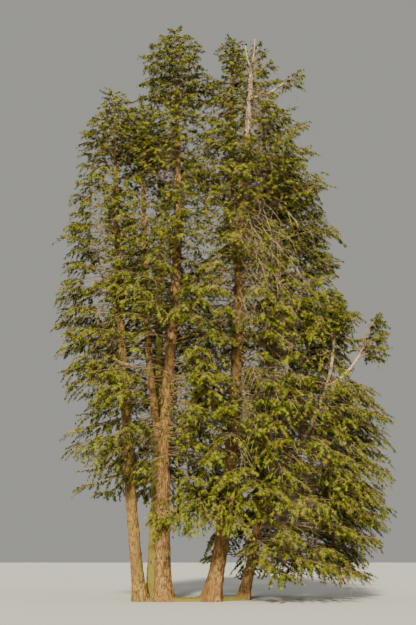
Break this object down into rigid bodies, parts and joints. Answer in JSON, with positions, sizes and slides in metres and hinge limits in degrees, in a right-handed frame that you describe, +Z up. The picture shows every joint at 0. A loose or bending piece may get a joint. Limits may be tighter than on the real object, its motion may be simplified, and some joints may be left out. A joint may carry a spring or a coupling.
{
  "type": "multi-stemmed conifer tree of the cypress family",
  "caption": "A tall evergreen that grows as a clump: several leaning stems from one root under one shared crown of drooping, fern-like sprays. Shelter and backdrop for a garden or park.",
  "frame": {"origin": "on the ground, in the middle of the flat cut under the main stem", "axes": "+Z up, +X to the right and +Y to the back as the tree is seen from its front"},
  "size_m": [14.6136, 10.4568, 25.3],
  "materials": {
    "bark": "rough fibrous bark",
    "bare_wood": "weathered bare wood",
    "sprays": "matt scale leaves"
  },
  "bodies": {
    "root": {"back_foliage_1": "sprays", "back_foliage_2": "sprays", "back_foliage_3": "sprays", "back_foliage_4": "sprays", "back_foliage_5": "sprays", "back_stem": "bark", "back_top_foliage": "sprays", "bare_leader": "bare_wood", "crossing_limb": "bark", "far_right_foliage_1": "sprays", "far_right_foliage_2": "sprays", "far_right_foliage_3": "sprays", "far_right_foliage_4": "sprays", "far_right_foliage_5": "sprays", "far_right_foliage_6": "sprays", "far_right_foliage_7": "sprays", "far_right_foliage_8": "sprays", "far_right_foliage_9": "sprays", "far_right_stem": "bark", "far_right_top_foliage": "sprays", "fork_foliage_1": "sprays", "front_foliage_1": "sprays", "front_foliage_2": "sprays", "front_foliage_3": "sprays", "front_foliage_4": "sprays", "front_limb": "bark", "leader_foliage_1": "sprays", "left_foliage_1": "sprays", "left_foliage_2": "sprays", "left_foliage_3": "sprays", "left_foliage_4": "sprays", "left_foliage_5": "sprays", "left_foliage_6": "sprays", "left_foliage_7": "sprays", "left_foliage_8": "sprays", "left_fork": "bark", "left_stem": "bark", "left_top_foliage": "sprays", "low_front_foliage": "sprays", "low_left_foliage_1": "sprays", "low_limb": "bark", "main_stem": "bark", "main_top_foliage": "sprays", "middle_foliage_1": "sprays", "middle_top_foliage": "sprays", "outer_foliage": "sprays", "outer_limb": "bark", "right_fork": "bark", "right_fork_top_foliage": "sprays", "right_front_foliage_1": "sprays", "right_front_foliage_2": "sprays", "right_front_foliage_3": "sprays", "right_front_foliage_4": "sprays", "right_side_foliage_1": "sprays", "right_side_foliage_2": "sprays", "right_stem": "bark", "top_right_foliage": "sprays", "top_right_limb": "bark", "upright_foliage": "sprays", "upright_limb": "bark"}
  },
  "joints": []
}
